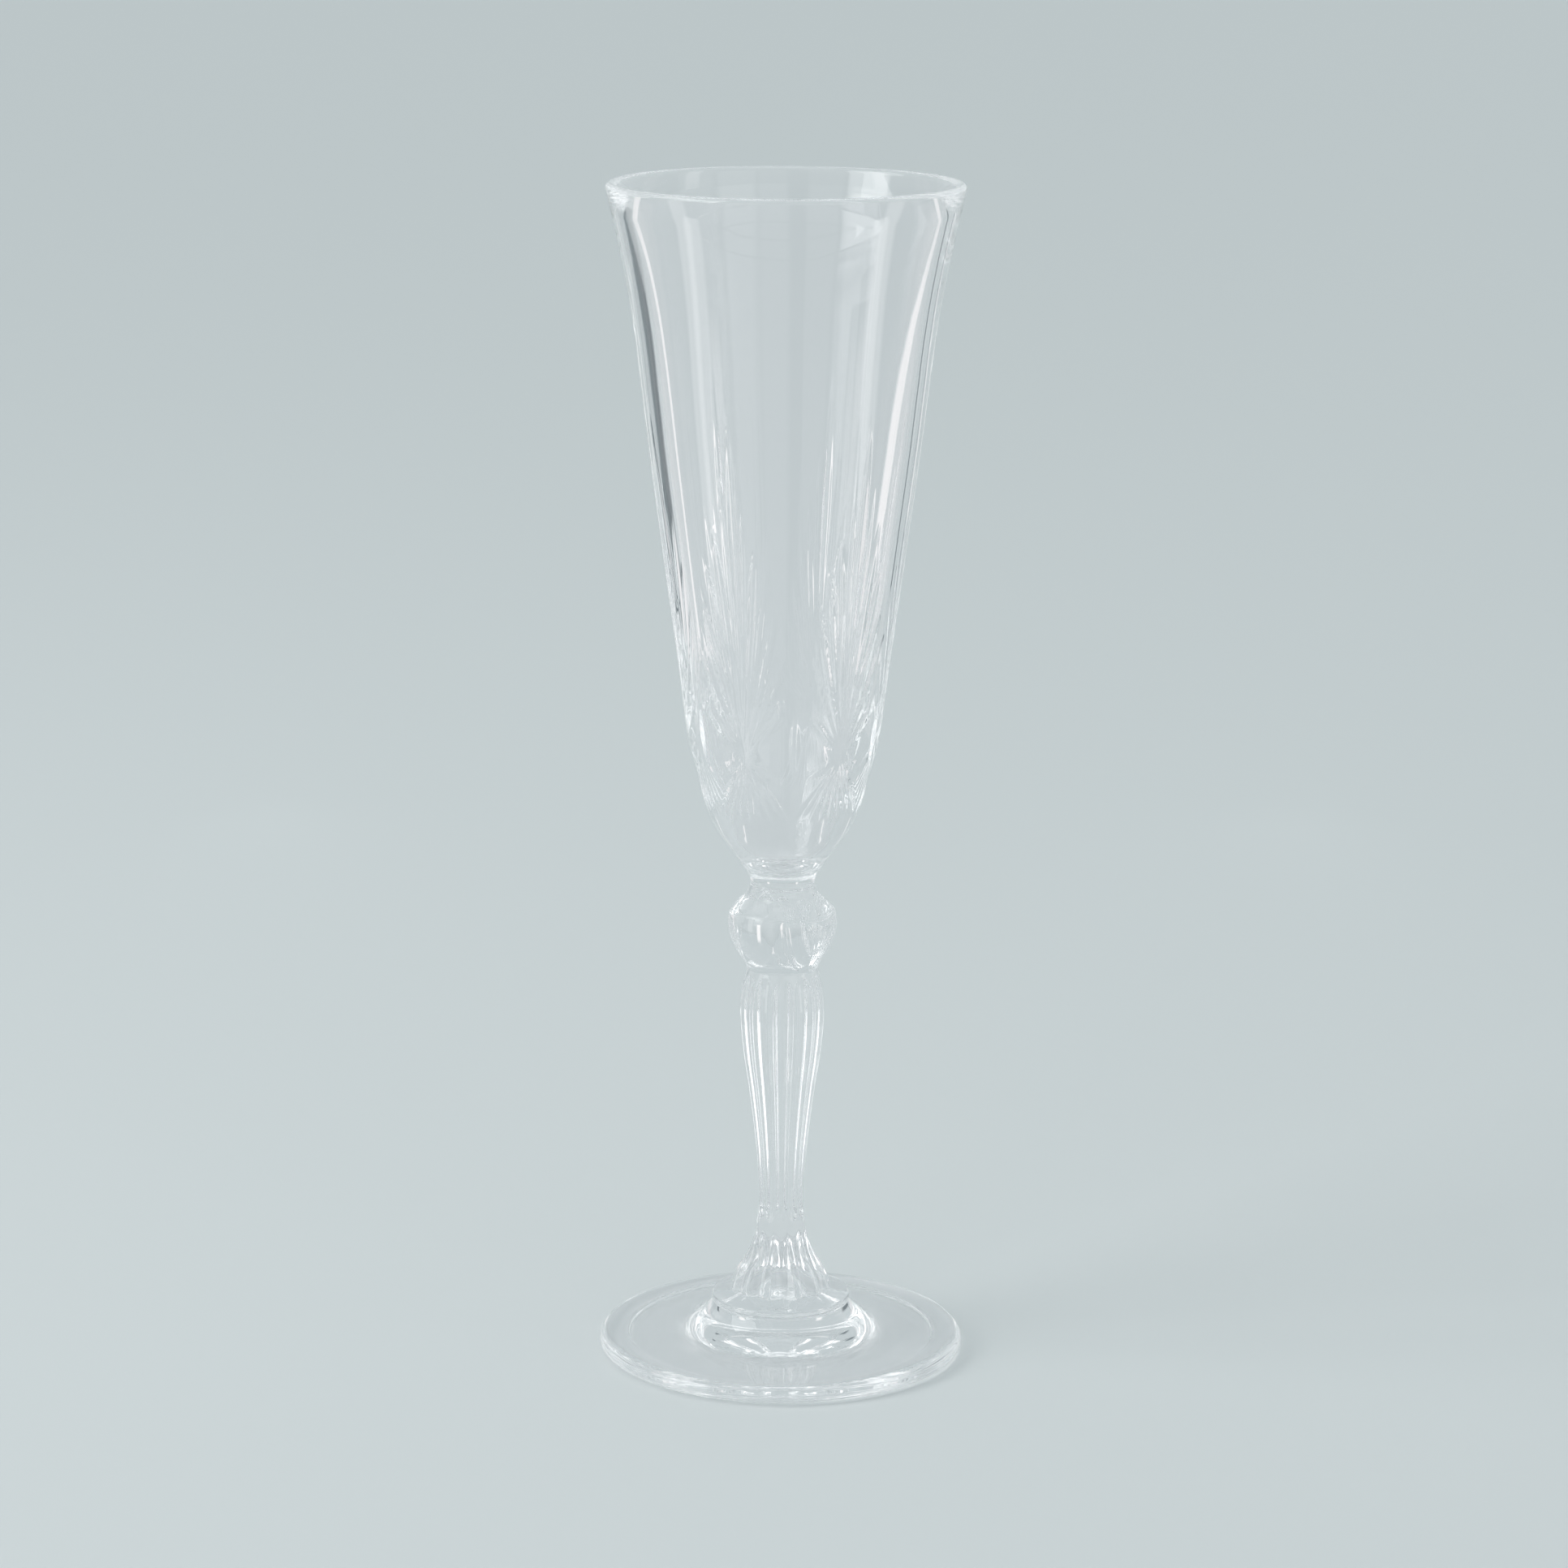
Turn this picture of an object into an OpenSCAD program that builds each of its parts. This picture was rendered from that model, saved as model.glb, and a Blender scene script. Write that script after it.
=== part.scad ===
// Champagne flute in pressed crystal. A conical bowl with cut fans stands on a collar,
// a fluted knop, a fluted baluster stem, a round boss and a domed foot.
// Millimetres, +Z up. The origin is the centre of the ring that the foot rests on.

/* [Bowl] */
// Height from the table to the top of the rim
glass_h = 216; // [212:1:222]
// Outer radius of the rim
rim_r = 32; // [31:0.1:33]
// Thickness of the rounded lip
lip_t = 1.9; // [1.7:0.1:2.3]
// Thickness of the side wall halfway up
wall_t = 3; // [2.6:0.1:3.2]

/* [Knop] */
// Largest radius of the knop
knop_r = 9.95; // [9.6:0.05:10.4]
// Number of hollow flutes round the knop's shoulder
knop_flutes = 12; // [8:1:14]

/* [Stem] */
// Largest radius of the stem, near its top
stem_r = 7.9; // [7.5:0.1:8.3]
// Smallest radius of the stem, above its flared base
waist_r = 4.15; // [3.8:0.05:4.6]
// Number of hollow flutes round the stem
stem_flutes = 12; // [8:1:16]
// Depth of the stem's upper flutes where the stem is thickest
flute_depth = 0.55; // [0.3:0.05:0.7]

/* [Foot] */
// Outer radius of the foot
foot_r = 33.7; // [33:0.1:36]
// Thickness of the foot's rounded edge
foot_edge_t = 3.1; // [2.8:0.1:3.6]
// Radius of the boss between the stem and the foot
boss_r = 12.85; // [12.4:0.05:13.4]

/* [Hidden] */

// Heights at which the pieces meet
boss_z = 8.8;
stem_z = 11.3;
knop_z = 72.6;
collar_z = 88.2;
bowl_z = 91;

// Facets round a turned shape, which come out as true round surfaces
round_fn = 120;
// Points on each stretch of a smooth outline, and of a fluted piece's outline
smooth_steps = 3;
fluted_steps = 2;

// Fans of wedge cuts on the lower half of the knop
knop_fan_count = 3;
knop_fan_turn = 80;
knop_fan_spread = 15;
knop_cut_w = 5;
knop_cut_depth = 0.5;
// Height of the knop's sharp ridge above its base, where the shoulder begins
knop_ridge_h = 11.2;
knop_flute_depth = 0.75;
// Height over which the knop's wedge cuts spread apart
knop_fan_open_h = 8;
// Heights over which a shoulder flute deepens above the ridge and fades under the collar
shoulder_start_h = 1.2;
shoulder_end_h = 2.2;
shoulder_gap_h = 0.8;

// Flutes of the stem
flute_steps = 6;
// Points round the knop on each of its flutes
knop_steps = 10;
base_flute_depth = 1.5;
flute_turn = 1.5;

function spline_point(a, b, c, d, t) =
    0.5 * (2 * b + (c - a) * t + (2 * a - 5 * b + 4 * c - d) * t * t
        + (3 * b - a - 3 * c + d) * t * t * t);

// A smooth line through every given point
function smooth_line(points, steps) = [
    for (i = [0:len(points) - 2])
        for (k = [0:steps - 1])
            spline_point(points[max(i - 1, 0)], points[i], points[i + 1],
                points[min(i + 2, len(points) - 1)], k / steps),
    points[len(points) - 1],
];

function reversed(points) = [for (i = [1:len(points)]) points[len(points) - i]];
function ramp(x, low, high) = min(1, max(0, (x - low) / (high - low)));
function ease(x) = x * x * (3 - 2 * x);

// Outside of the bowl from its seat up to the lip, as [radius, height]
bowl_outside = [
    [6.6, bowl_z],
    [8.4, bowl_z + 2.6],
    [10.7, bowl_z + 5.8],
    [12.7, bowl_z + 9],
    [14.3, bowl_z + 13],
    [15.8, bowl_z + 18.5],
    [17.5, bowl_z + 25.5],
    [19, bowl_z + 37],
    [21.8, bowl_z + 58],
    [24.6, bowl_z + 79],
    [27.2, glass_h - 25],
    [29.6, glass_h - 12],
    [rim_r, glass_h - lip_t / 2],
];

// Inside of the bowl from the axis up to the lip
bowl_inside = [
    [0, bowl_z + 1.3],
    [4, bowl_z + 2.2],
    [7.1, bowl_z + 5.2],
    [9.3, bowl_z + 9.5],
    [11.2, bowl_z + 15],
    [14.6 - wall_t / 4, bowl_z + 25.5],
    [19 - wall_t, bowl_z + 37],
    [21.8 - wall_t, bowl_z + 58],
    [24.6 - wall_t, bowl_z + 79],
    [24.4, glass_h - 25],
    [27.2, glass_h - 12],
    [rim_r - lip_t, glass_h - lip_t / 2],
];

// The lip is a half circle over the top of the wall
lip_arc = [
    for (a = [15:15:165])
        [rim_r - lip_t / 2 + lip_t / 2 * cos(a), glass_h - lip_t / 2 + lip_t / 2 * sin(a)],
];

knop_outline = [
    [6.45, knop_z],
    [7.1, knop_z + 1.6],
    [8.4, knop_z + 3.6],
    [9.5, knop_z + 6],
    [knop_r, knop_z + 8.4],
    [9.65, knop_z + 10.8],
    [8.6, knop_z + 12.2],
    [6.9, knop_z + 13.8],
    [6, collar_z],
];

collar_outline = [
    [6, collar_z],
    [5.93, collar_z + 0.8],
    [6.1, collar_z + 1.8],
    [6.6, bowl_z],
];

// Radius of the stem where it stands on the boss
stem_foot_r = 9.5;
stem_outline = [
    [stem_foot_r, stem_z],
    [8.9, stem_z + 1.6],
    [7.9, stem_z + 3.6],
    [6.1, stem_z + 6.7],
    [4.95, stem_z + 10],
    [4.4, stem_z + 13.2],
    [waist_r, stem_z + 16.5],
    [4.45, stem_z + 23],
    [5.1, stem_z + 30],
    [6.2, stem_z + 38.5],
    [7.35, stem_z + 46],
    [stem_r, stem_z + 52.7],
    [7.6, knop_z - 4.4],
    [6.9, knop_z - 1.4],
    [6.45, knop_z],
];

// Where the stem's plain waist parts the base flutes from the upper flutes
waist_low = stem_z + 11;
waist_high = stem_z + 13.5;
flutes_top = knop_z - 1;
// Heights over which an upper flute deepens above the waist and closes in an arch at its top
flute_start_h = 4;
flute_arch_h = 3;

// The boss stands on the foot, has a rounded edge, and slopes up to the stem
boss_base_r = 12.6;
boss_edge_h = 1.5;
boss_round = 0.5;

// Top of the foot from its rounded edge up to the boss
foot_edge_r = foot_edge_t / 2;
foot_edge_w = 2.6;
foot_edge_rise = 0.05;
foot_top = [
    [foot_r - foot_edge_w, foot_edge_t + foot_edge_rise],
    [24, 3.7],
    [17.5, 4.6],
    [14.6, 6.1],
    [13, 8.1],
    [boss_base_r, boss_z],
];
// Underside of the foot, a shallow hollow inside the resting ring
rest_ring_out = foot_r - 2;
rest_ring_in = foot_r - 4.4;
hollow_h = 1.5;
hollow_mid_h = 1.2;
foot_hollow = [
    [0, hollow_h],
    [rest_ring_in / 2, hollow_mid_h],
    [rest_ring_in - 1, 0.15],
    [rest_ring_in, 0],
];

module bowl() {
    color([0.86, 0.91, 0.93])
        rotate_extrude($fn = round_fn)
            polygon(concat(
                [[0, bowl_z]],
                smooth_line(bowl_outside, smooth_steps),
                lip_arc,
                [for (p = smooth_line(reversed(bowl_inside), smooth_steps)) [max(p[0], 0), p[1]]]
            ));
}

module collar() {
    color([0.8, 0.87, 0.9])
        rotate_extrude($fn = round_fn)
            polygon(concat(
                [[0, bowl_z], [0, collar_z]],
                smooth_line(collar_outline, smooth_steps)
            ));
}

// A closed solid through rings that all have the same number of points, each at its own height
module ringed_solid(rings) {
    count = len(rings[0]);
    last = len(rings) - 1;
    foot_point = count * len(rings);
    head_point = foot_point + 1;
    polyhedron(
        points = concat(
            [for (ring = rings) each ring],
            [[0, 0, rings[0][0][2]], [0, 0, rings[last][0][2]]]
        ),
        faces = [
            for (i = [0:count - 1])
                each let (next = (i + 1) % count)
                [
                    [foot_point, i, next],
                    [head_point, last * count + next, last * count + i],
                    for (k = [0:last - 1])
                        each let (
                            a = k * count + i,
                            b = k * count + next
                        )
                        [[a, a + count, b], [b, a + count, b + count]],
                ],
        ],
        convexity = 6
    );
}

// How far across a flute an angle is: 0 in the middle of the hollow, 1 on the ridge
function across_flute(a, count) =
    let (u = (a - flute_turn) * count / 360)
    abs(2 * (u - floor(u + 0.5)));

// Hollow flutes run down the knop's shoulder
function shoulder_cut(h, a) =
    let (top = collar_z - knop_z - shoulder_gap_h)
    knop_flute_depth * sqrt(ramp(h, knop_ridge_h, knop_ridge_h + shoulder_start_h))
        * ramp(h, top, top - shoulder_end_h)
        * (1 - pow(across_flute(a, knop_flutes), 2));

// Three wedge cuts fan out upwards from one point at the knop's base
function knop_fan_cut(h, a) =
    let (
        pitch = 360 / knop_fan_count,
        u = (a - knop_fan_turn) / pitch,
        off = pitch * (u - floor(u + 0.5)),
        open = ramp(h, 0, knop_fan_open_h),
        miss = min([for (k = [-1:1]) abs(off - k * knop_fan_spread * open)])
    )
    knop_cut_depth * sin(180 * ramp(h, 0, knop_ridge_h)) * max(0, 1 - miss / knop_cut_w);

function knop_ring(r, z) = [
    for (i = [0:knop_flutes * knop_steps - 1])
        let (
            a = flute_turn + i * 360 / (knop_flutes * knop_steps),
            cut = shoulder_cut(z - knop_z, a) + knop_fan_cut(z - knop_z, a)
        )
        [(r - cut) * cos(a), (r - cut) * sin(a), z],
];

module knop() {
    color([0.74, 0.84, 0.9])
        ringed_solid([for (p = smooth_line(knop_outline, fluted_steps)) knop_ring(p[0], p[1])]);
}

// Flutes of the stem: deep ones down its base, and shallow ones with arched ends above the waist
function stem_cut(r, z, across) =
    z < waist_low
        ? base_flute_depth * ramp(z, waist_low, stem_z) * (1 - across * across)
        : flute_depth * r / stem_r * max(0, ease(ramp(z, waist_high, waist_high + flute_start_h))
            * ease(ramp(z, flutes_top, flutes_top - flute_arch_h)) - across * across);

function stem_ring(r, z) = [
    for (i = [0:stem_flutes * flute_steps - 1])
        let (
            a = flute_turn + i * 360 / (stem_flutes * flute_steps),
            cut = stem_cut(r, z, across_flute(a, stem_flutes))
        )
        [(r - cut) * cos(a), (r - cut) * sin(a), z],
];

module stem() {
    color([0.86, 0.91, 0.93])
        ringed_solid([for (p = smooth_line(stem_outline, fluted_steps)) stem_ring(p[0], p[1])]);
}

module boss() {
    color([0.8, 0.87, 0.9])
        rotate_extrude($fn = round_fn)
            polygon([
                [0, boss_z],
                [boss_base_r, boss_z],
                for (a = [-60:30:60])
                    [boss_r - boss_round + boss_round * cos(a), boss_z + boss_edge_h / 2 * (1 + sin(a))],
                [stem_foot_r, stem_z],
                [0, stem_z],
            ]);
}

module foot() {
    color([0.86, 0.91, 0.93])
        rotate_extrude($fn = round_fn)
            polygon(concat(
                foot_hollow,
                [[rest_ring_out, 0]],
                [
                    for (a = [-75:15:75])
                        [foot_r - foot_edge_r + foot_edge_r * cos(a), foot_edge_r + foot_edge_r * sin(a)],
                ],
                smooth_line(foot_top, smooth_steps),
                [[0, boss_z]]
            ));
}

bowl();
collar();
knop();
stem();
boss();
foot();
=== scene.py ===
import math

import bpy
import numpy as np
from mathutils import Matrix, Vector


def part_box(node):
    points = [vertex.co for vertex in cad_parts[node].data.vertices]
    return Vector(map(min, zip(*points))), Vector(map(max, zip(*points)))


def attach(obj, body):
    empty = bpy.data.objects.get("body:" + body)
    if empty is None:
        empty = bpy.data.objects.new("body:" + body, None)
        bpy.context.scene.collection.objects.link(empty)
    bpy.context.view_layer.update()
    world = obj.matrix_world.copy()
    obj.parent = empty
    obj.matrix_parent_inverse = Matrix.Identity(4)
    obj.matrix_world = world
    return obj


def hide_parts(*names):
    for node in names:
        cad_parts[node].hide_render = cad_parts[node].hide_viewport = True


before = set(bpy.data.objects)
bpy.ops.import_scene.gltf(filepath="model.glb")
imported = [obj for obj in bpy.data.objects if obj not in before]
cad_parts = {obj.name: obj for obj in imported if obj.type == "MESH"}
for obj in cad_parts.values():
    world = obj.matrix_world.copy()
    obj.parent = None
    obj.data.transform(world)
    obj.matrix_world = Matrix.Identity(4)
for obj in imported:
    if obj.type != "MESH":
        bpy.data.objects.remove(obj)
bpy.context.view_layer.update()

# Lengths in the shape functions are millimetres, and the meshes are made in metres.
MM = 0.001
JOINT_SLOT = 1          # each piece's second material, for the faces that meet the next piece


# ---------------------------------------------------------------- places, from the CAD frame

def low(node):
    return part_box(node)[0] / MM


def high(node):
    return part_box(node)[1] / MM


foot_top_z, boss_top_z = high("foot")[2], high("boss")[2]
knop_z, collar_z = low("knop")[2], low("collar")[2]
bowl_z, rim_z = low("bowl")[2], high("bowl")[2]
foot_r, boss_r = high("foot")[0], high("boss")[0]
knop_r, rim_r = high("knop")[0], high("bowl")[0]

STEM_R = 7.9            # largest radius of the stem
FLUTES = 12             # hollow flutes round the stem and round the knop's shoulder
FLUTE_TURN = 1.5        # where the first flute's middle lies, in degrees from +X
FANS = 6                # cut fans round the bowl
FAN_TURN = 6.6
FAN_HEIGHT = 24         # from the bowl's seat to the middle of each fan
KNOP_FANS = 3
KNOP_FAN_TURN = 80


# ---------------------------------------------------------------- curves and turned meshes

SHARP_ANGLE = 62        # edges sharper than this many degrees stay crisp
FLAT_NORMAL = 0.999     # a face whose normal is this upright counts as flat
SEAT_SLACK = 0.001      # mm by which a face may miss its seat's height


def smooth_line(points, steps):
    """A smooth line through every given point, with steps pieces between neighbours."""
    p = np.array(points, float)
    p = np.vstack([p[:1], p, p[-1:]])
    t = np.linspace(0, 1, steps, endpoint=False)[:, None]
    parts = []
    for a, b, c, d in zip(p[:-3], p[1:-2], p[2:-1], p[3:]):
        parts.append(0.5 * (2 * b + (c - a) * t + (2 * a - 5 * b + 4 * c - d) * t * t
                            + (3 * b - a - 3 * c + d) * t ** 3))
    return np.vstack(parts + [p[-1:]])


def radius_at(line, heights):
    """Radii at the given heights on a line whose heights rise."""
    return np.interp(heights, line[:, 1], line[:, 0])


def at_heights(line, heights):
    return np.column_stack([radius_at(line, heights), heights])


def ramp(x, start, end):
    return np.clip((x - start) / (end - start), 0, 1)


def ease(x):
    return x * x * (3 - 2 * x)


def fold(angle, count, turn):
    """Degrees from the nearest of count evenly spaced places, the first of which is at turn."""
    pitch = 360 / count
    u = (angle - turn) / pitch
    return pitch * (u - np.floor(u + 0.5))


def soft_max(a, b, blend):
    """The greater of two depths, rounded where they meet."""
    gap = np.clip(0.5 + 0.5 * (a - b) / blend, 0, 1)
    return b + (a - b) * gap + blend * gap * (1 - gap)


def ring_faces(rings, segments):
    """Faces between neighbouring rings of points, and fans to the two poles that follow them."""
    here = np.arange(segments)
    ahead = (here + 1) % segments
    quads = [
        np.stack([k + here, k + ahead, k + segments + ahead, k + segments + here], 1)
        for k in range(0, (rings - 1) * segments, segments)
    ]
    bottom, top, last = rings * segments, rings * segments + 1, (rings - 1) * segments
    faces = np.vstack(quads).tolist()
    faces += [[bottom, b, a] for a, b in zip(here.tolist(), ahead.tolist())]
    faces += [[top, last + a, last + b] for a, b in zip(here.tolist(), ahead.tolist())]
    return faces


def turned_piece(name, outline, segments, carve=None, seats=()):
    """A closed turned mesh. outline runs from the axis at the bottom to the axis at the top.

    carve(angle, radius, height) gives how much glass is taken off. Faces that lie flat at a
    height in seats meet the next piece and get the joint material.
    """
    outline = np.array(outline, float)
    rings = outline[1:-1]
    angle = np.arange(segments) * 360 / segments
    radius = np.repeat(rings[:, :1], segments, 1)
    height = np.repeat(rings[:, 1:], segments, 1)
    if carve is not None:
        radius = radius - carve(angle[None, :], radius, height)
    turn = np.radians(angle)[None, :]
    body = np.stack([radius * np.cos(turn), radius * np.sin(turn), height], -1).reshape(-1, 3)
    poles = [[0, 0, outline[0, 1]], [0, 0, outline[-1, 1]]]
    verts = np.vstack([body, poles]) * MM
    faces = ring_faces(len(rings), segments)
    mesh = bpy.data.meshes.new(name)
    mesh.from_pydata(verts.tolist(), [], faces)
    mesh.polygons.foreach_set("use_smooth", [True] * len(faces))
    mesh.set_sharp_from_angle(angle=math.radians(SHARP_ANGLE))
    obj = bpy.data.objects.new(name, mesh)
    bpy.context.scene.collection.objects.link(obj)
    mark_seats(mesh, seats)
    return obj


def mark_seats(mesh, seats):
    """Gives the joint material to the flat faces at the seats' heights."""
    for poly in mesh.polygons:
        height = poly.center.z / MM
        at_seat = any(abs(height - seat) < SEAT_SLACK for seat in seats)
        if at_seat and abs(poly.normal.z) > FLAT_NORMAL:
            poly.material_index = JOINT_SLOT


# ---------------------------------------------------------------- the bowl and its cut fans

BOWL_SEGMENTS = 750
LIP_T = 1.9             # thickness of the rounded lip
WALL_T = 3.0            # thickness of the wall in the bowl's middle
LIP_ARC_STEP = 22.5     # degrees between the rings of the lip's round
# Rings of the outside below the lip: mm above the seat where a stretch starts and ends, and how many
BOWL_STRETCHES = [(0, 6, 6), (6, 32, 48), (32, 90, 38)]
TOP_RINGS = 9           # rings from the last stretch to the lip
BOWL_OUTSIDE = smooth_line([
    [6.6, bowl_z], [8.4, bowl_z + 2.6], [10.7, bowl_z + 5.8], [12.7, bowl_z + 9],
    [14.3, bowl_z + 13], [15.8, bowl_z + 18.5], [17.5, bowl_z + 25.5], [19, bowl_z + 37],
    [21.8, bowl_z + 58], [24.6, bowl_z + 79], [27.2, rim_z - 25], [29.6, rim_z - 12],
    [rim_r, rim_z - LIP_T / 2],
], 16)
BOWL_INSIDE = smooth_line([
    [0, bowl_z + 1.3], [4, bowl_z + 2.2], [7.1, bowl_z + 5.2], [9.3, bowl_z + 9.5],
    [11.2, bowl_z + 15], [14.6 - WALL_T / 4, bowl_z + 25.5], [19 - WALL_T, bowl_z + 37],
    [21.8 - WALL_T, bowl_z + 58], [24.6 - WALL_T, bowl_z + 79], [24.4, rim_z - 25],
    [27.2, rim_z - 12], [rim_r - LIP_T, rim_z - LIP_T / 2],
], 2)

# Each spear of a fan: its tip in degrees round the bowl and mm up, and its half width in mm
UP_SPEARS = [
    (0, 63, 0.95), (5.2, 51, 0.6), (10.5, 42, 0.85), (15.5, 35, 0.7), (20.5, 28, 0.8),
    (26, 20, 0.7),
]
DOWN_SPEARS = [(0, -13, 0.9), (9, -12.5, 0.8), (18, -12.3, 0.85), (29, -12.4, 0.9)]
SIDE_SPEARS = [(29, 11, 0.75), (24, -3.5, 0.6)]
MID_LENS = (30, 3, 1.0, 5.5)     # between fans: degrees, mm up, half width and half height
CUTTER_R = 1.0                   # radius of the round-edged cutter, in mm
CUT_BLEND = 0.03                 # rounding where two cuts meet, in mm
SPEAR_TAPER = 0.75               # how fast a spear narrows to its tip
SPEAR_SWELL = 3.3                # brings a spear's widest place to its half width
LENS_TAPER = 1.5                 # how full the lone lens is towards its ends
PANEL_COUNT = 12                 # the faint panels of the upper wall
PANEL_TURN = 9
PANEL_RIPPLE = 0.035             # half the depth of their ripple, in mm


def spear_depth(x, y, tip_x, tip_y, half_width):
    """Depth of one lens-shaped cut from the fan's middle to a point at its tip."""
    length = math.hypot(tip_x, tip_y)
    along = (x * tip_x + y * tip_y) / length ** 2
    across = (x * tip_y - y * tip_x) / length
    inside = np.clip(along, 0, 1)
    width = SPEAR_SWELL * half_width * inside * (1 - inside) ** SPEAR_TAPER
    past = (along - inside) * length
    return (width ** 2 - across ** 2 - past ** 2) / (2 * CUTTER_R)


def fan_cuts(angle, radius, height):
    """All the cuts of the fans, and the lone lens between two fans."""
    y = height - bowl_z - FAN_HEIGHT
    spears = [(s * side, *rest) for s, *rest in UP_SPEARS + DOWN_SPEARS + SIDE_SPEARS
              for side in ((1, -1) if s else (1,))]
    near = fold(angle, FANS, FAN_TURN)
    cut = np.zeros(np.broadcast(near, radius).shape)
    for neighbour in (-1, 0, 1):
        x = radius * np.radians(near - neighbour * 360 / FANS)
        for side, up, half_width in spears:
            tip_r = float(radius_at(BOWL_OUTSIDE, bowl_z + FAN_HEIGHT + up))
            tip_x = tip_r * math.radians(side)
            cut = soft_max(spear_depth(x, y, tip_x, up, half_width), cut, CUT_BLEND)
    side, up, wide, tall = MID_LENS
    x = radius * np.radians(np.abs(near) - side)
    share = 1 - (x / wide) ** 2 - np.abs((y - up) / tall) ** LENS_TAPER
    return soft_max(share * wide ** 2 / (2 * CUTTER_R), cut, CUT_BLEND)


def soft_panels(angle, height):
    """The faint broad panels that pressing leaves in the upper wall."""
    fade = ramp(height, bowl_z + 15, bowl_z + 60) * ramp(height, rim_z - 1, rim_z - 14)
    wave = np.cos(np.radians(fold(angle, PANEL_COUNT, PANEL_TURN) * PANEL_COUNT))
    return PANEL_RIPPLE * fade * (1 + wave)


def bowl_piece():
    lip_z = rim_z - LIP_T / 2
    lip = [[rim_r - LIP_T / 2 * (1 - math.cos(a)), lip_z + LIP_T / 2 * math.sin(a)]
           for a in np.radians(np.arange(LIP_ARC_STEP, 180, LIP_ARC_STEP))]
    heights = [np.linspace(bowl_z + start, bowl_z + end, rings, endpoint=False)
               for start, end, rings in BOWL_STRETCHES]
    heights.append(np.linspace(bowl_z + BOWL_STRETCHES[-1][1], lip_z, TOP_RINGS))
    outside = at_heights(BOWL_OUTSIDE, np.concatenate(heights))
    outline = np.vstack([[[0, bowl_z]], outside, lip, BOWL_INSIDE[::-1]])

    def carve(angle, radius, height):
        outer = np.arange(len(outline) - 2)[:, None] < len(outside)
        return outer * (fan_cuts(angle, radius, height) + soft_panels(angle, height))

    return turned_piece("cut_bowl", outline, BOWL_SEGMENTS, carve, [bowl_z])


# ---------------------------------------------------------------- the collar and the knop

COLLAR_SEGMENTS = 192


def collar_piece():
    side = smooth_line([[6, collar_z], [5.93, collar_z + 0.8], [6.1, collar_z + 1.8],
                        [6.6, bowl_z]], 8)
    outline = np.vstack([[[0, collar_z]], side, [[0, bowl_z]]])
    return turned_piece("neck_collar", outline, COLLAR_SEGMENTS, None, [collar_z, bowl_z])


KNOP_SEGMENTS = 480
KNOP_RIDGE = 11.0       # height of the wavy ridge where the knop's shoulder begins
RIDGE_WAVE = 0.45       # rise and fall of that ridge
RIDGE_TURN = 3
SHOULDER_STEP = 0.22    # depth of the step at the ridge
SHOULDER_FLUTE = 0.55   # depth of the flutes above it
KNOP_OUTLINE = smooth_line([
    [6.45, knop_z], [7.1, knop_z + 1.6], [8.4, knop_z + 3.6], [9.5, knop_z + 6],
    [knop_r, knop_z + 8.4], [9.65, knop_z + 10.8], [8.6, knop_z + 12.2],
    [6.9, knop_z + 13.8], [6, collar_z],
], 10)
KNOP_WEDGES = (-2, -1, 0, 1, 2)     # places of a fan's wedges, counted from its middle
WEDGE_DEPTH = 0.34
WEDGE_SPREAD = 8.5      # degrees between two wedges where the fan is widest
WEDGE_ROOT = 0.5        # half width of a wedge at the fan's root, in degrees


def ridge_height(angle):
    """Height of the wavy ridge above the knop's bottom."""
    return KNOP_RIDGE + RIDGE_WAVE * np.cos(np.radians(KNOP_FANS * (angle - RIDGE_TURN)))


def shoulder_cuts(angle, height):
    """A step at the ridge, and hollow flutes above it."""
    h = height - knop_z - ridge_height(angle)
    across = np.abs(fold(angle, FLUTES, FLUTE_TURN)) * FLUTES / 180
    top = collar_z - knop_z - KNOP_RIDGE
    step = SHOULDER_STEP * ramp(h, 0, 0.35) * ramp(h, top - 0.4, 1)
    reach = np.sqrt(ramp(h, 0.3, 1.6)) * ramp(h, top - 0.9, top - 2)
    return step + SHOULDER_FLUTE * np.maximum(reach - across ** 2, 0)


def knop_wedges(angle, height):
    """Wedge cuts that fan out from the knop's bottom to its widest place."""
    h = height - knop_z
    off = fold(angle, KNOP_FANS, KNOP_FAN_TURN)
    spread = WEDGE_SPREAD * ramp(h, -0.5, 8)
    miss = np.min([np.abs(off - k * spread) for k in KNOP_WEDGES], 0)
    room = ramp(h, 0.3, 2) * ramp(h, KNOP_RIDGE - 1, KNOP_RIDGE - 4.5)
    half = WEDGE_ROOT + spread / 2
    return WEDGE_DEPTH * room * np.maximum(0, 1 - (miss / half) ** 2)


def knop_piece():
    def carve(angle, radius, height):
        return shoulder_cuts(angle, height) + knop_wedges(angle, height)

    outline = np.vstack([[[0, knop_z]], KNOP_OUTLINE, [[0, collar_z]]])
    return turned_piece("fluted_knop", outline, KNOP_SEGMENTS, carve, [knop_z, collar_z])


# ---------------------------------------------------------------- the stem

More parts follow.
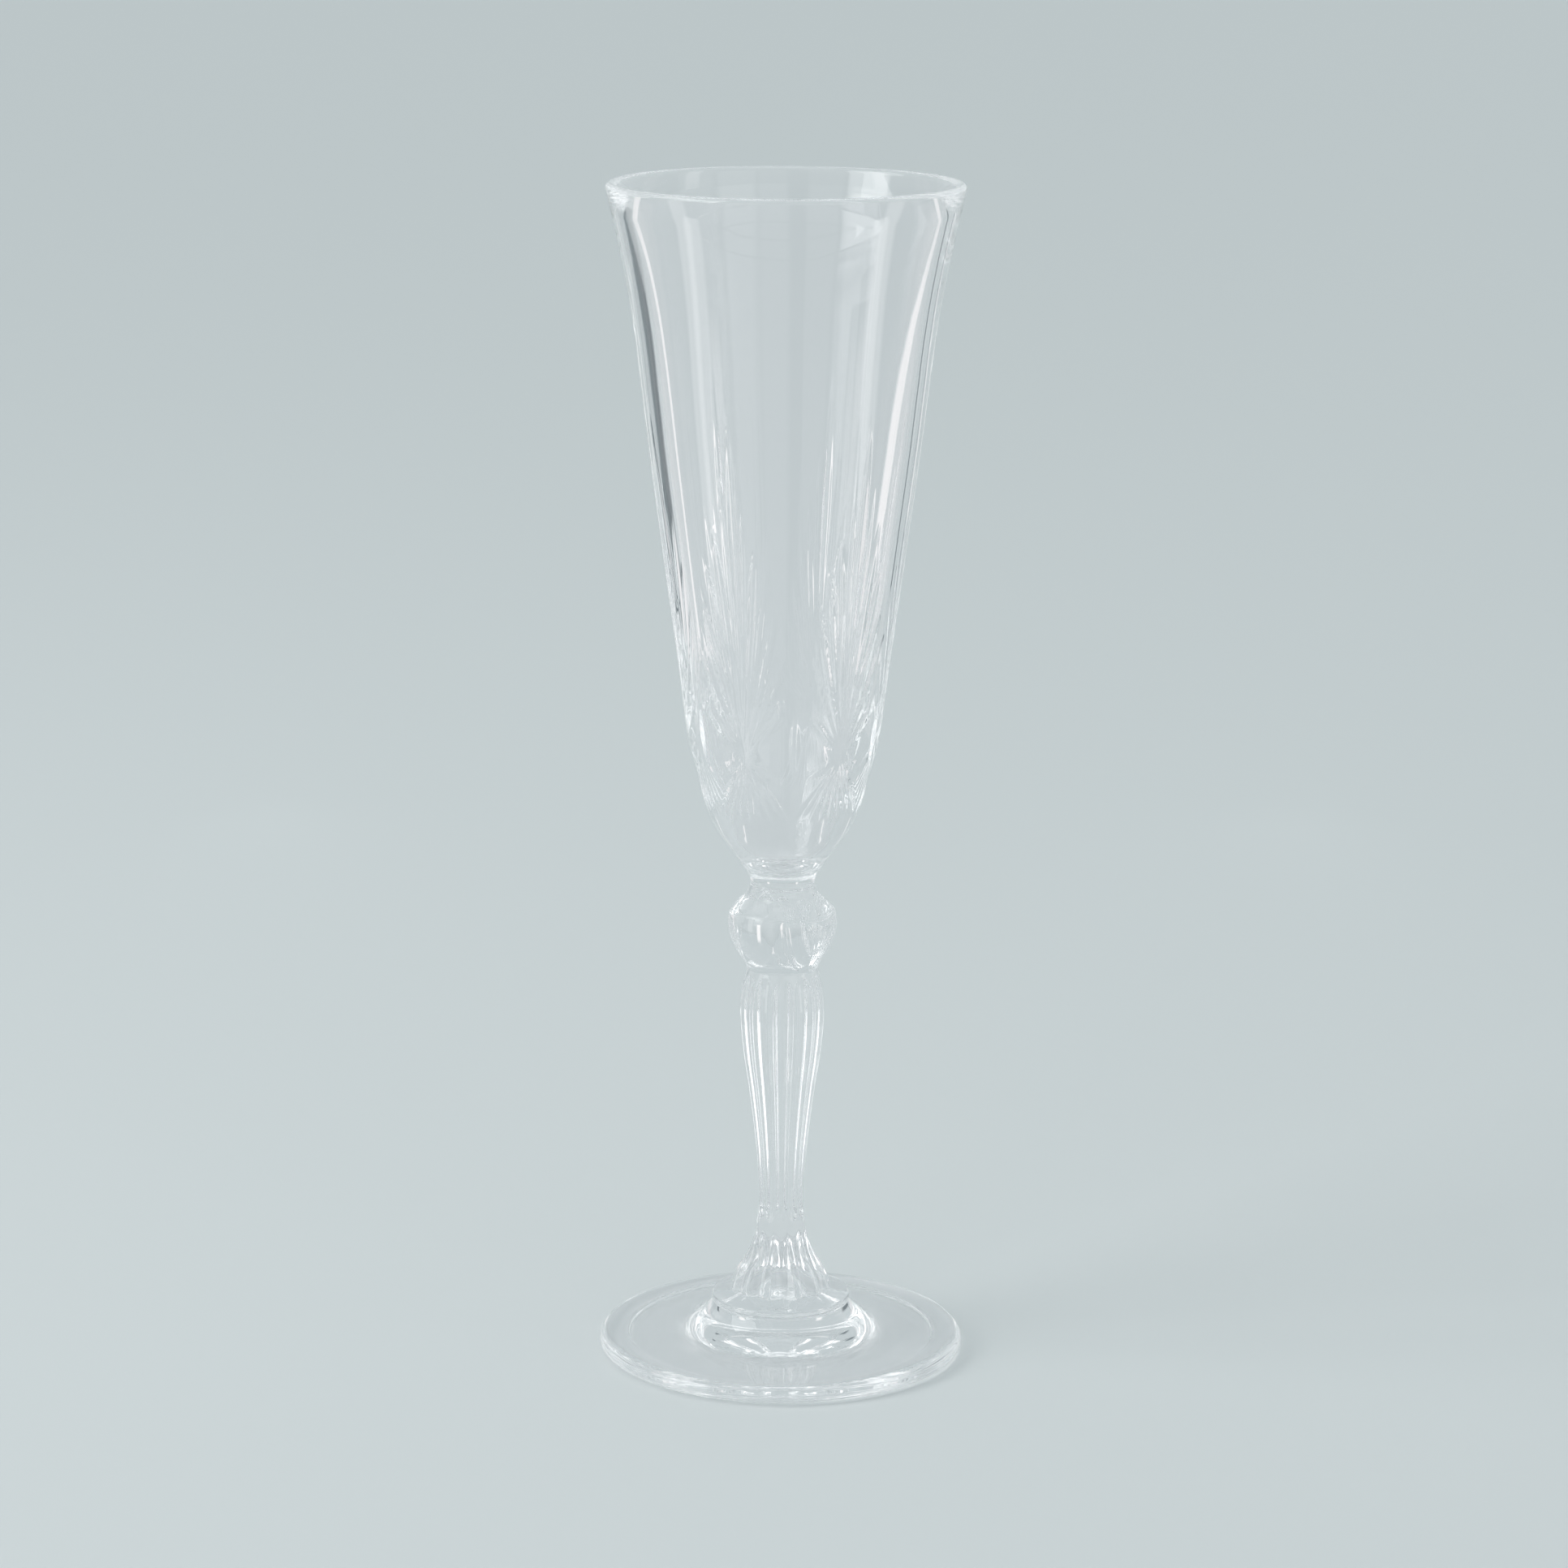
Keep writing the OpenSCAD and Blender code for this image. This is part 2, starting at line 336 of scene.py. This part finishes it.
STEM_SEGMENTS = FLUTES * 24
STEM_FOOT_R = 9.5       # radius of the flared base on the boss
BASE_FLUTE = 1.5        # depth of the base's flutes at the boss
STEM_FLUTE = 0.75       # depth of the upper flutes at the stem's widest place
RIDGE_SOFT = 0.11       # rounding of the ridges between the upper flutes, as a share of their depth
BASE_TOP = 12.5         # height above the boss where the base's flutes run out
HOLLOW_START = (13, 15.5)       # heights above the boss between which the upper flutes set in
HOLLOW_END = (0.7, 2.6)         # distances under the knop between which they arch to an end
STEM_OUTLINE = smooth_line([
    [STEM_FOOT_R, boss_top_z], [8.9, boss_top_z + 1.6], [7.9, boss_top_z + 3.6],
    [6.1, boss_top_z + 6.7], [4.95, boss_top_z + 10], [4.4, boss_top_z + 13.2],
    [4.15, boss_top_z + 16.5], [4.45, boss_top_z + 23], [5.1, boss_top_z + 30],
    [6.2, boss_top_z + 38.5], [7.35, boss_top_z + 46], [STEM_R, boss_top_z + 52.7],
    [7.6, knop_z - 4.4], [6.9, knop_z - 1.4], [6.45, knop_z],
], 9)


def stem_flutes(angle, radius, height):
    """Deep flutes down the flared base, and shallow ones with arched ends above the waist."""
    across = np.abs(fold(angle, FLUTES, FLUTE_TURN)) * FLUTES / 180
    base = BASE_FLUTE * ramp(height, boss_top_z + BASE_TOP, boss_top_z) * (1 - across ** 2)
    start, full = (boss_top_z + rise for rise in HOLLOW_START)
    end, fading = (knop_z - drop for drop in HOLLOW_END)
    reach = ease(ramp(height, start, full)) * np.sqrt(ramp(height, end, fading))
    hollow = soft_max(reach - across ** 2 - RIDGE_SOFT, 0, RIDGE_SOFT)
    return base + STEM_FLUTE * radius / STEM_R * hollow


def stem_piece():
    outline = np.vstack([[[0, boss_top_z]], STEM_OUTLINE, [[0, knop_z]]])
    return turned_piece("fluted_stem", outline, STEM_SEGMENTS, stem_flutes, [boss_top_z, knop_z])


# ---------------------------------------------------------------- the boss and the foot

BOSS_BOTTOM_R = 12.6    # radius of the seam between the boss and the foot
BOSS_ROUND = 0.5        # how far the boss's rounded edge stands out
BOSS_HALF_EDGE = 0.75   # half of its height
BOSS_RIM = 0.4          # width and drop of the bevel round the stem's base
BOSS_DROP = 0.15
FOOT_SEGMENTS = 288
FOOT_EDGE_R = 1.55      # radius of the foot's rounded edge
FOOT_HOLLOW = 1.5       # height of the hollow underneath, at its middle
REST_RING = (4.4, 2)    # the flat ring that the foot stands on, in mm in from the edge


def boss_piece():
    edge = [[boss_r + BOSS_ROUND * (math.cos(a) - 1), foot_top_z + BOSS_HALF_EDGE * (1 + math.sin(a))]
            for a in np.radians(np.arange(-60, 91, 15))]
    outline = np.vstack([
        [[0, foot_top_z], [BOSS_BOTTOM_R, foot_top_z]], edge,
        [[STEM_FOOT_R + BOSS_RIM, boss_top_z - BOSS_DROP], [STEM_FOOT_R, boss_top_z]],
        [[0, boss_top_z]],
    ])
    stem_ring = len(outline) - 3

    def carve(angle, radius, height):
        inner = np.arange(len(outline) - 2)[:, None] == stem_ring
        return inner * stem_flutes(angle, radius, height)

    piece = turned_piece("boss_ring", outline, STEM_SEGMENTS, carve, [foot_top_z])
    # Only the discs under the stem and over the foot are made of triangles, and both are seams.
    for poly in piece.data.polygons:
        if len(poly.vertices) == 3:
            poly.material_index = JOINT_SLOT
    return piece


def foot_piece():
    rest_in, rest_out = (foot_r - inset for inset in REST_RING)
    hollow = smooth_line([[0.01, FOOT_HOLLOW], [rest_in * 0.5, 1.25], [rest_in - 3, 0.45],
                          [rest_in - 1, 0.12], [rest_in, 0]], 6)
    edge = [[foot_r + FOOT_EDGE_R * (math.cos(a) - 1), FOOT_EDGE_R * (1 + math.sin(a))]
            for a in np.radians(np.arange(-75, 76, 10))]
    top = smooth_line([[foot_r - 2.6, 3.15], [24, 3.65], [19, 4.2], [16.4, 5.05],
                       [14.4, 6.5], [13.1, 8], [BOSS_BOTTOM_R, foot_top_z]], 8)
    outline = np.vstack([[[0, FOOT_HOLLOW]], hollow, [[rest_out, 0]], edge, top,
                         [[0, foot_top_z]]])
    return turned_piece("round_foot", outline, FOOT_SEGMENTS, None, [foot_top_z])


# ---------------------------------------------------------------- materials

def nodes_of(owner):
    """The node tree of a material or the world, emptied, with its nodes and links."""
    owner.use_nodes = True
    tree = owner.node_tree
    tree.nodes.clear()
    return tree, tree.nodes, tree.links


TINT = (0.998, 0.991, 0.996)    # the crystal's own colour
INDEX = 1.52            # index of refraction
WAVES = 60              # scale of the slow waviness
WAVE_HEIGHT = 0.02      # its height, in mm
WAVE_STRENGTH = 0.15
FINE_WAVES = WAVES * 8  # scale of the patches of bloom
BLOOM = 0.02            # roughness of the dullest patch
BLOOM_START = 0.4       # noise level where the bloom sets in, and where it is full
BLOOM_FULL = 0.8


def crystal(name):
    """Clear pressed crystal: a faint slow waviness in the surface, and a faint bloom."""
    material = bpy.data.materials.new(name)
    tree, nodes, links = nodes_of(material)
    out = nodes.new("ShaderNodeOutputMaterial")
    glass = nodes.new("ShaderNodeBsdfPrincipled")
    glass.inputs["Base Color"].default_value = (*TINT, 1)
    glass.inputs["Transmission Weight"].default_value = 1
    glass.inputs["IOR"].default_value = INDEX
    place = nodes.new("ShaderNodeTexCoord")
    slow = nodes.new("ShaderNodeTexNoise")
    slow.inputs["Scale"].default_value = WAVES
    slow.inputs["Detail"].default_value = 1
    bump = nodes.new("ShaderNodeBump")
    bump.inputs["Strength"].default_value = WAVE_STRENGTH
    bump.inputs["Distance"].default_value = WAVE_HEIGHT * MM
    fine = nodes.new("ShaderNodeTexNoise")
    fine.inputs["Scale"].default_value = FINE_WAVES
    fine.inputs["Detail"].default_value = 3
    dull = nodes.new("ShaderNodeMapRange")
    dull.inputs["From Min"].default_value = BLOOM_START
    dull.inputs["From Max"].default_value = BLOOM_FULL
    dull.inputs["To Min"].default_value = 0.0
    dull.inputs["To Max"].default_value = BLOOM
    links.new(place.outputs["Object"], slow.inputs["Vector"])
    links.new(place.outputs["Object"], fine.inputs["Vector"])
    links.new(slow.outputs["Fac"], bump.inputs["Height"])
    links.new(fine.outputs["Fac"], dull.inputs["Value"])
    links.new(dull.outputs["Result"], glass.inputs["Roughness"])
    links.new(bump.outputs["Normal"], glass.inputs["Normal"])
    links.new(glass.outputs["BSDF"], out.inputs["Surface"])
    return material


def fused_joint():
    """The hidden face where two fused pieces meet: light goes straight on, as in one glass."""
    material = bpy.data.materials.new("fused_joint")
    tree, nodes, links = nodes_of(material)
    out = nodes.new("ShaderNodeOutputMaterial")
    clear = nodes.new("ShaderNodeBsdfTransparent")
    links.new(clear.outputs["BSDF"], out.inputs["Surface"])
    return material


def paper(name, colour):
    """Matt paper for the floor."""
    material = bpy.data.materials.new(name)
    tree, nodes, links = nodes_of(material)
    out = nodes.new("ShaderNodeOutputMaterial")
    sheet = nodes.new("ShaderNodeBsdfPrincipled")
    sheet.inputs["Base Color"].default_value = (*colour, 1)
    sheet.inputs["Roughness"].default_value = 0.9
    sheet.inputs["Specular IOR Level"].default_value = 0.2
    links.new(sheet.outputs["BSDF"], out.inputs["Surface"])
    return material


# ---------------------------------------------------------------- the glass, piece by piece

joint = fused_joint()
PIECES = {
    "bowl": (bowl_piece, crystal("bowl_crystal")),
    "collar": (collar_piece, crystal("collar_crystal")),
    "knop": (knop_piece, crystal("knop_crystal")),
    "stem": (stem_piece, crystal("stem_crystal")),
    "boss": (boss_piece, crystal("boss_crystal")),
    "foot": (foot_piece, crystal("foot_crystal")),
}
for node, (build, material) in PIECES.items():
    piece = build()
    piece.data.materials.append(material)
    piece.data.materials.append(joint)
    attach(piece, "root")
    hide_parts(node)


# ---------------------------------------------------------------- the studio

BACKDROP = (0.545, 0.61, 0.625)
PAPER = (0.70, 0.72, 0.722)
FLOOR_HALF = 8
FLOOR_Z = -0.0004       # a hair under the foot, so that no two faces lie in one plane


def plane(name, corners, material):
    mesh = bpy.data.meshes.new(name)
    mesh.from_pydata(corners, [], [[0, 1, 2, 3]])
    mesh.materials.append(material)
    obj = bpy.data.objects.new(name, mesh)
    bpy.context.scene.collection.objects.link(obj)
    return obj


plane("pale_floor", [(x * FLOOR_HALF, y * FLOOR_HALF, FLOOR_Z)
                     for x, y in ((-1, -1), (1, -1), (1, 1), (-1, 1))],
      paper("pale_paper", PAPER))


def gate(tree, value, start, end):
    """0 before start and 1 past end, eased between."""
    node = tree.nodes.new("ShaderNodeMapRange")
    node.interpolation_type = "SMOOTHSTEP"
    node.inputs["From Min"].default_value = start
    node.inputs["From Max"].default_value = end
    tree.links.new(value, node.inputs["Value"])
    return node.outputs["Result"]


def maths(tree, operation, *values):
    """One Math node, fed by numbers and by other nodes' outputs."""
    node = tree.nodes.new("ShaderNodeMath")
    node.operation = operation
    for i, value in enumerate(values):
        if isinstance(value, (int, float)):
            node.inputs[i].default_value = value
        else:
            tree.links.new(value, node.inputs[i])
    return node.outputs[0]


SIDE_FADE = 0.25        # share of a card's width over which each side fades
TOP_FADE = 0.3          # share of its height over which its top fades
MOST_CROSSED = 2.5      # light that turns inside one wall crosses two faces, in and out
LEAST_TURNED = 0.5      # and is mirrored at least once
FACTOR, COLOUR_A, COLOUR_B, COLOUR_OUT = 0, 6, 7, 2     # the Mix node's colour sockets


def card_shape(tree, left, right, top):
    """1 in the middle of a card between two floor points, and 0 at its sides and its top."""
    place = tree.nodes.new("ShaderNodeNewGeometry")
    along = tree.nodes.new("ShaderNodeVectorMath")
    along.operation = "DOT_PRODUCT"
    step = [(b - a) / math.dist(left, right) ** 2 for a, b in zip(left, right)]
    along.inputs[1].default_value = (*step, 0)
    tree.links.new(place.outputs["Position"], along.inputs[0])
    across = maths(tree, "SUBTRACT", along.outputs["Value"],
                   left[0] * step[0] + left[1] * step[1])
    split = tree.nodes.new("ShaderNodeSeparateXYZ")
    tree.links.new(place.outputs["Position"], split.inputs["Vector"])
    sides = maths(tree, "MULTIPLY", gate(tree, across, 0, SIDE_FADE),
                  gate(tree, across, 1, 1 - SIDE_FADE))
    return maths(tree, "MULTIPLY", sides,
                 gate(tree, split.outputs["Z"], top, top * (1 - TOP_FADE)))


def in_wall_only(tree, surface):
    """Shows a surface only to light that was mirrored and crossed at most two faces of glass; with
    the dark flags this paints shade lines into the glass walls.
    """
    path = tree.nodes.new("ShaderNodeLightPath")
    crossed = path.outputs["Transmission Depth"]
    turned = maths(tree, "SUBTRACT", path.outputs["Ray Depth"], crossed)
    clear = tree.nodes.new("ShaderNodeBsdfTransparent")
    pick = tree.nodes.new("ShaderNodeMixShader")
    inside = maths(tree, "MULTIPLY", maths(tree, "LESS_THAN", crossed, MOST_CROSSED),
                   maths(tree, "GREATER_THAN", turned, LEAST_TURNED))
    tree.links.new(inside, pick.inputs["Fac"])
    tree.links.new(clear.outputs["BSDF"], pick.inputs[1])
    tree.links.new(surface, pick.inputs[2])
    return pick.outputs[0]


def card_sheet(name, left, right, top, glow, in_wall):
    """A sheet that glows, and fades into the backdrop colour at its sides and its top."""
    material = bpy.data.materials.new(name)
    tree, nodes, links = nodes_of(material)
    out = nodes.new("ShaderNodeOutputMaterial")
    mix = nodes.new("ShaderNodeMix")
    mix.data_type = "RGBA"
    mix.inputs[COLOUR_A].default_value = (*BACKDROP, 1)
    mix.inputs[COLOUR_B].default_value = (*glow, 1)
    links.new(card_shape(tree, left, right, top), mix.inputs[FACTOR])
    light = nodes.new("ShaderNodeEmission")
    links.new(mix.outputs[COLOUR_OUT], light.inputs["Color"])
    surface = light.outputs["Emission"]
    links.new(in_wall_only(tree, surface) if in_wall else surface, out.inputs["Surface"])
    return material


def card(name, start, end, distance, top, glow, in_wall=False):
    """A card that stands between two azimuths, and that only the glass sees.

    Azimuth 0 is the camera's side. With in_wall, it shows in the mirroring walls of the glass,
    and not straight through the bowl.
    """
    ends = [math.radians(start), math.radians(end)]
    (x0, y0), (x1, y1) = [(math.sin(a) * distance, -math.cos(a) * distance) for a in ends]
    obj = plane(name, [(x0, y0, 0), (x1, y1, 0), (x1, y1, top), (x0, y0, top)],
                card_sheet(name + "_sheet", (x0, y0), (x1, y1), top, glow, in_wall))
    obj.visible_camera = False
    obj.visible_diffuse = False
    obj.visible_shadow = False


SOFT = (2.3, 2.3, 2.3)
FAINT = (0.85, 0.86, 0.87)
BRIGHT = (0.98, 0.99, 0.99)
DARK_SHADE = (0.10, 0.13, 0.145)
NEAR, FAR = 0.34, 0.47  # the cards' distances from the glass, in metres
card("left_card", -79, -63, NEAR, 0.24, SOFT)
card("right_card", 63, 79, NEAR, 0.24, SOFT)
card("left_side_card", -128, -102, NEAR, 0.2, FAINT)
card("right_side_card", 102, 128, NEAR, 0.2, FAINT)
card("left_strip", -164, -160, FAR, 0.14, BRIGHT)
card("right_strip", 160, 164, FAR, 0.14, BRIGHT)
# The two dark flags are painted shade: dark sheets that stand in for the dark room beyond the paper,
# and the glass shows them only as dark lines in light mirrored inside its walls.
card("left_shade_flag", -145, -130, FAR, 0.15, DARK_SHADE, in_wall=True)
card("right_shade_flag", 141, 144, FAR, 0.15, DARK_SHADE, in_wall=True)


# Light panels of the room: azimuth range and elevation range in degrees, and added brightness
PANELS = [
    (-80, -44, -3, 12, 1.7),
    (-80, -44, 10, 38, 3.2),
    (-44, -14, -3, 60, 0.45),
    (-3, 22, -3, 32, 0.55),
    (20, 52, -3, 32, 0.9),
    (52, 84, -3, 32, 0.4),
    (-190, 190, 70, 95, 0.7),
]
PANEL_FADE = 4          # degrees over which each side of a panel fades


def panel_light(tree, azimuth, elevation):
    """The brightness that the panels add in a direction."""
    light = 0
    for start, end, lowest, highest, gain in PANELS:
        part = maths(tree, "MULTIPLY", gate(tree, azimuth, start, start + PANEL_FADE),
                     gate(tree, azimuth, end, end - PANEL_FADE))
        part = maths(tree, "MULTIPLY", part, gate(tree, elevation, lowest, lowest + PANEL_FADE))
        part = maths(tree, "MULTIPLY", part, gate(tree, elevation, highest, highest - PANEL_FADE))
        light = maths(tree, "ADD", light, maths(tree, "MULTIPLY", part, gain))
    return light


def studio_world():
    """A pale room with soft bright panels, and plain backdrop colour where the camera looks."""
    world = bpy.data.worlds.new("studio")
    tree = nodes_of(world)[0]
    out = tree.nodes.new("ShaderNodeOutputWorld")
    place = tree.nodes.new("ShaderNodeTexCoord")
    split = tree.nodes.new("ShaderNodeSeparateXYZ")
    tree.links.new(place.outputs["Generated"], split.inputs["Vector"])
    x, y, z = (split.outputs[i] for i in range(3))
    azimuth = maths(tree, "DEGREES", maths(tree, "ARCTAN2", x, maths(tree, "MULTIPLY", y, -1)))
    elevation = maths(tree, "DEGREES", maths(tree, "ARCSINE", z))
    room = tree.nodes.new("ShaderNodeBackground")
    room.inputs["Color"].default_value = (*BACKDROP, 1)
    panels = tree.nodes.new("ShaderNodeBackground")
    tree.links.new(panel_light(tree, azimuth, elevation), panels.inputs["Strength"])
    both = tree.nodes.new("ShaderNodeAddShader")
    tree.links.new(room.outputs[0], both.inputs[0])
    tree.links.new(panels.outputs[0], both.inputs[1])
    plain = tree.nodes.new("ShaderNodeBackground")
    plain.inputs["Color"].default_value = (*BACKDROP, 1)
    path = tree.nodes.new("ShaderNodeLightPath")
    pick = tree.nodes.new("ShaderNodeMixShader")
    tree.links.new(path.outputs["Is Camera Ray"], pick.inputs["Fac"])
    tree.links.new(both.outputs[0], pick.inputs[1])
    tree.links.new(plain.outputs[0], pick.inputs[2])
    tree.links.new(pick.outputs[0], out.inputs["Surface"])
    return world


bpy.context.scene.world = studio_world()


AIM_Z = 0.1             # height on the glass that the softbox faces, in metres


def softbox(name, azimuth, elevation, distance, size, power):
    """A soft square light that faces the glass. Azimuth 0 is the camera's side."""
    light = bpy.data.lights.new(name, "AREA")
    light.size = size
    light.energy = power
    obj = bpy.data.objects.new(name, light)
    a, e = math.radians(azimuth), math.radians(elevation)
    obj.location = (math.sin(a) * math.cos(e) * distance,
                    -math.cos(a) * math.cos(e) * distance,
                    math.sin(e) * distance + AIM_Z)
    obj.rotation_euler = (math.radians(90 - elevation), 0, a)
    obj.visible_camera = False
    bpy.context.scene.collection.objects.link(obj)


softbox("left_softbox", -75, 38, distance=1.2, size=0.7, power=3)

scene = bpy.context.scene
scene.view_settings.view_transform = "Standard"
LONG_PATHS = 160        # light runs a long way down inside the wall before it comes out
scene.cycles.max_bounces = LONG_PATHS
scene.cycles.glossy_bounces = LONG_PATHS
scene.cycles.transmission_bounces = LONG_PATHS
scene.cycles.transparent_max_bounces = LONG_PATHS
scene.cycles.blur_glossy = 0    # so that the floor under the foot gets its full light


# ---------------------------------------------------------------- the camera

SENSOR_W = 36           # in mm, as the lens
LENS = 106.155
CAMERA_PLACE = (0.00015, -0.8196, 0.2932)
LOOK_DOWN = 12.8        # degrees under the horizon
CAMERA_ROLL = 0.29
FAR_CLIP = 30

camera_data = bpy.data.cameras.new("camera")
camera_data.sensor_width = SENSOR_W
camera_data.lens = LENS
camera_data.clip_end = FAR_CLIP
camera = bpy.data.objects.new("camera", camera_data)
camera.location = CAMERA_PLACE
tilt = Matrix.Rotation(math.radians(90 - LOOK_DOWN), 3, "X")
camera.rotation_euler = (tilt @ Matrix.Rotation(math.radians(CAMERA_ROLL), 3, "Z")).to_euler()
scene.collection.objects.link(camera)
scene.camera = camera
